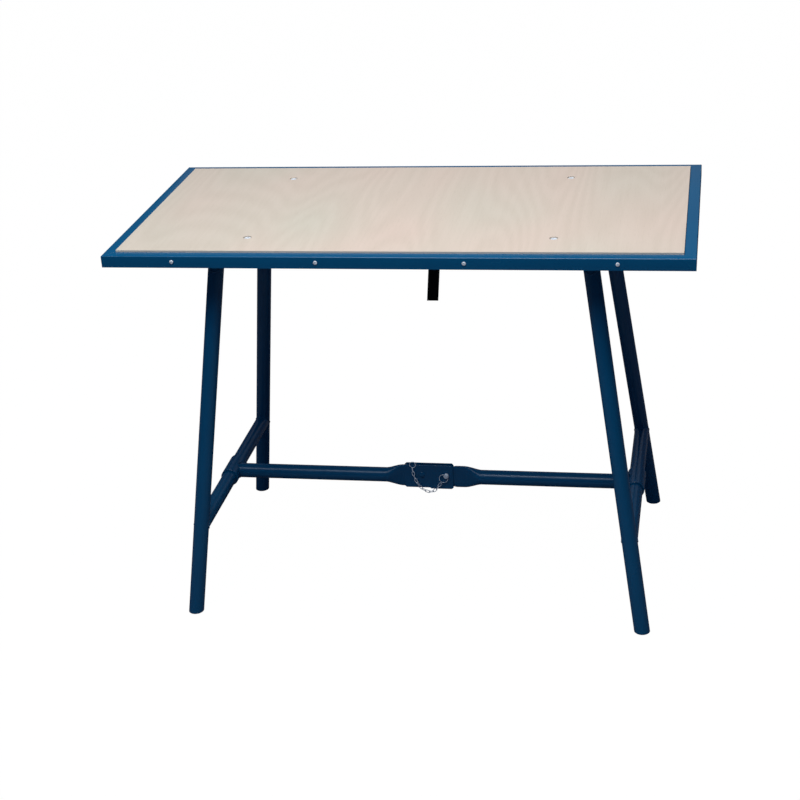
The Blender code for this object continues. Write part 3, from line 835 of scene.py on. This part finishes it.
# %% [markdown]
# The chain keeps the pin from being lost. Its links are real separate loops of wire, each turned a quarter
# against the last. They hang along a given curve, and bend between the stretcher and the pin.

# %% Chain
chain_level = middle_of("pin_chain").y
link_pitch, link_wire, link_width = 9.6 * MM, 0.8 * MM, 7 * MM
route_points = (
    (-39 * MM, 24.8 * MM), (-38 * MM, 15 * MM), (-36.5 * MM, 5 * MM), (-32 * MM, -7 * MM),
    (-26 * MM, -19 * MM), (-17.5 * MM, -28.5 * MM), (-7.5 * MM, -34.2 * MM), (2.5 * MM, -35.8 * MM),
    (11 * MM, -31.5 * MM), (19 * MM, -22.5 * MM), (25.6 * MM, -12 * MM),
)
chain_route = [Vector((x, chain_level, crossbar_level + z)) for x, z in route_points]


def along_route(route, distance):
    for a, b in zip(route, route[1:]):
        step = (b - a).length
        if distance <= step:
            return a.lerp(b, distance / step)
        distance -= step
    return route[-1]


route_length = sum((b - a).length for a, b in zip(chain_route, chain_route[1:]))
link_count = round(route_length / link_pitch)
real_pitch = route_length / link_count
chain_mesh = bmesh.new()
for number in range(link_count):
    a, b = along_route(chain_route, number * real_pitch), along_route(chain_route, (number + 1) * real_pitch)
    ahead = (b - a).normalized()
    facing = Vector((0, 1, 0)) if number % 2 else ahead.cross(Vector((0, 1, 0))).normalized()
    wide = ahead.cross(facing)
    half_width = link_width / 2 - link_wire
    half_length = (real_pitch + 4 * link_wire) / 2 - link_width / 2
    points = []
    for sign, first in ((1, -90), (-1, 90)):
        for k in range(9):
            angle = math.radians(first + 180 * k / 8)
            forward = sign * half_length + math.cos(angle) * half_width
            points.append((a + b) / 2 + ahead * forward + wide * math.sin(angle) * half_width)
    link = skin(wire(points, link_wire * 0.96, 8), closed=True)
    held = bpy.data.meshes.new("link")
    link.to_mesh(held)
    link.free()
    chain_mesh.from_mesh(held)
    bpy.data.meshes.remove(held)
chain = piece("wire_pin_chain", chain_mesh, zinc, None)
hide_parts("pin_chain")
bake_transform(chain)
print("chain links:", link_count)

# %% [markdown]
# The strap under the board ties up the folded frames. Webbing is woven flat with a thicker edge. On the real
# strap the cut end is folded back and sewn; here it is a plain cut end.

# %% Strap
strap_low, strap_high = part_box("strap")
strap_thick, strap_wide = 2.4 * MM, 24 * MM
strap_lean, strap_sway, strap_bend, strap_fold = 13 * MM, 2 * MM, 6 * MM, 30 * MM
strap_back = strap_high[1]
strap_level = strap_high[2] - strap_thick / 2
strap_drop = strap_level - strap_bend - strap_low[2]


def strap_path():
    """(y, z) points along the middle of the webbing, from the screwed end down to the cut end."""
    origin = strap_back - strap_fold
    path = [Vector((strap_back, strap_level))]
    for k in range(9):
        angle = math.radians(90 + 90 * k / 8)
        path.append(Vector((origin + strap_bend + strap_bend * math.cos(angle),
                            strap_level - strap_bend + strap_bend * math.sin(angle))))
    for k in range(1, 25):
        share = k / 24
        hang = strap_level - strap_bend - strap_drop * share
        path.append(Vector((origin + strap_sway * share * share, hang)))
    return path


def webbing_strip(path, swell, steps=8):
    """Rings round the webbing, thinner along both selvedges and leaning to one side as it hangs."""
    right = strap_high[0]
    rings = []
    for i, point in enumerate(path):
        ahead = (path[min(i + 1, len(path) - 1)] - path[max(i - 1, 0)]).normalized()
        off = Vector((-ahead.y, ahead.x))
        hang = max(strap_level - strap_bend - point.y, 0) / strap_drop
        middle = right - strap_wide / 2 - strap_lean * hang
        ring = []
        for sign in (1, -1):
            for k in range(steps + 1):
                share = (2 * k / steps - 1) * sign
                half = strap_thick / 2 * (1 - swell * (abs(share) > 0.8))
                y, z = point + off * half * sign
                ring.append(Vector((middle + share * strap_wide / 2, y, z)))
        rings.append(ring)
    return skin(rings)


piece("woven_strap", webbing_strip(strap_path(), 0.2), webbing, "top", ["strap"])
screw_middle = middle_of("strap_screw")
screw_radius, screw_height = size_of("strap_screw").x / 2, size_of("strap_screw").z
start = Vector((screw_middle.x, screw_middle.y, screw_middle.z - screw_height / 2))
strap_shank, strap_shank_length = 2 * MM, 0.2 * MM
washer_head = dome_profile(screw_radius, screw_height, strap_shank, strap_shank_length)
screw_rings = turned(washer_head, start, (0, 0, 1), 32)
piece("zinc_strap_screw", skin(screw_rings), zinc, "top", ["strap_screw"])
print("strap hangs", round((strap_high[2] - strap_low[2]) / MM), "mm below the board")


# %% [markdown]
# The studio is plain: a pale floor that the camera sees as white, a wide soft lamp overhead, a long lamp that
# draws the highlight on the tubes, a low one behind that greys the rim's far parts, and a weak even fill. The
# light from above is much the stronger, so the rim's top is bright and its face dark.

# %% Studio
def white_floor():
    made = bpy.data.materials.new("studio_floor")
    made.use_nodes = True
    tree = made.node_tree
    shader = tree.nodes["Principled BSDF"]
    shader.inputs["Base Color"].default_value = (0.14, 0.15, 0.18, 1)
    shader.inputs["Roughness"].default_value = 0.9
    glow = tree.nodes.new("ShaderNodeEmission")
    mix = tree.nodes.new("ShaderNodeMixShader")
    paths = tree.nodes.new("ShaderNodeLightPath")
    glow.inputs["Strength"].default_value = 1.05
    seen = Wire(tree, paths.outputs["Is Camera Ray"]) * 0.95
    tree.links.new(seen.socket, mix.inputs[0])
    tree.links.new(shader.outputs[0], mix.inputs[1])
    tree.links.new(glow.outputs[0], mix.inputs[2])
    tree.links.new(mix.outputs[0], tree.nodes["Material Output"].inputs[0])
    return made


floor_drop = -0.5 * MM
floor_mesh = bmesh.new()
bmesh.ops.create_grid(floor_mesh, x_segments=1, y_segments=1, size=40)
floor_data = bpy.data.meshes.new("studio_floor")
floor_mesh.to_mesh(floor_data)
floor_mesh.free()
floor_data.materials.append(white_floor())
floor = bpy.data.objects.new("studio_floor", floor_data)
floor.location.z = floor_drop
bpy.context.scene.collection.objects.link(floor)


def soft_lamp(name, place, target, size, power, colour=(1, 1, 1)):
    data = bpy.data.lights.new(name, "AREA")
    data.color = colour
    data.shape = "RECTANGLE"
    data.size, data.size_y = size
    data.energy = power
    made = bpy.data.objects.new(name, data)
    made.location = place
    made.rotation_euler = (Vector(target) - Vector(place)).to_track_quat("-Z", "Y").to_euler()
    made.visible_camera = False
    bpy.context.scene.collection.objects.link(made)


soft_lamp("overhead_lamp", (0.1, -0.6, 3.3), (0, -0.1, 0.6), (1.9, 1.9), 68, (1, 0.985, 0.965))
soft_lamp("strip_lamp", (-0.5, -1.7, 2.95), (0, 0, 0.2), (2.6, 0.7), 25, (0.76, 0.87, 1))
soft_lamp("low_back_lamp", (0, 3.3, 1.6), (0, 0.2, 0.85), (3.4, 0.6), 1.8, (0.9, 0.95, 1))

world = bpy.data.worlds.new("studio")
bpy.context.scene.world = world
world.use_nodes = True
sky = world.node_tree
fill = sky.nodes["Background"]
fill.inputs["Color"].default_value = (0.35, 0.54, 1, 1)
fill.inputs["Strength"].default_value = 0.1
seen = sky.nodes.new("ShaderNodeBackground")
seen.inputs["Color"].default_value = (1, 1, 1, 1)
seen.inputs["Strength"].default_value = 1
choose = sky.nodes.new("ShaderNodeMixShader")
rays = sky.nodes.new("ShaderNodeLightPath")
share = Wire(sky, rays.outputs["Is Camera Ray"])
sky.links.new(share.socket, choose.inputs[0])
sky.links.new(fill.outputs[0], choose.inputs[1])
sky.links.new(seen.outputs[0], choose.inputs[2])
sky.links.new(choose.outputs[0], sky.nodes["World Output"].inputs[0])
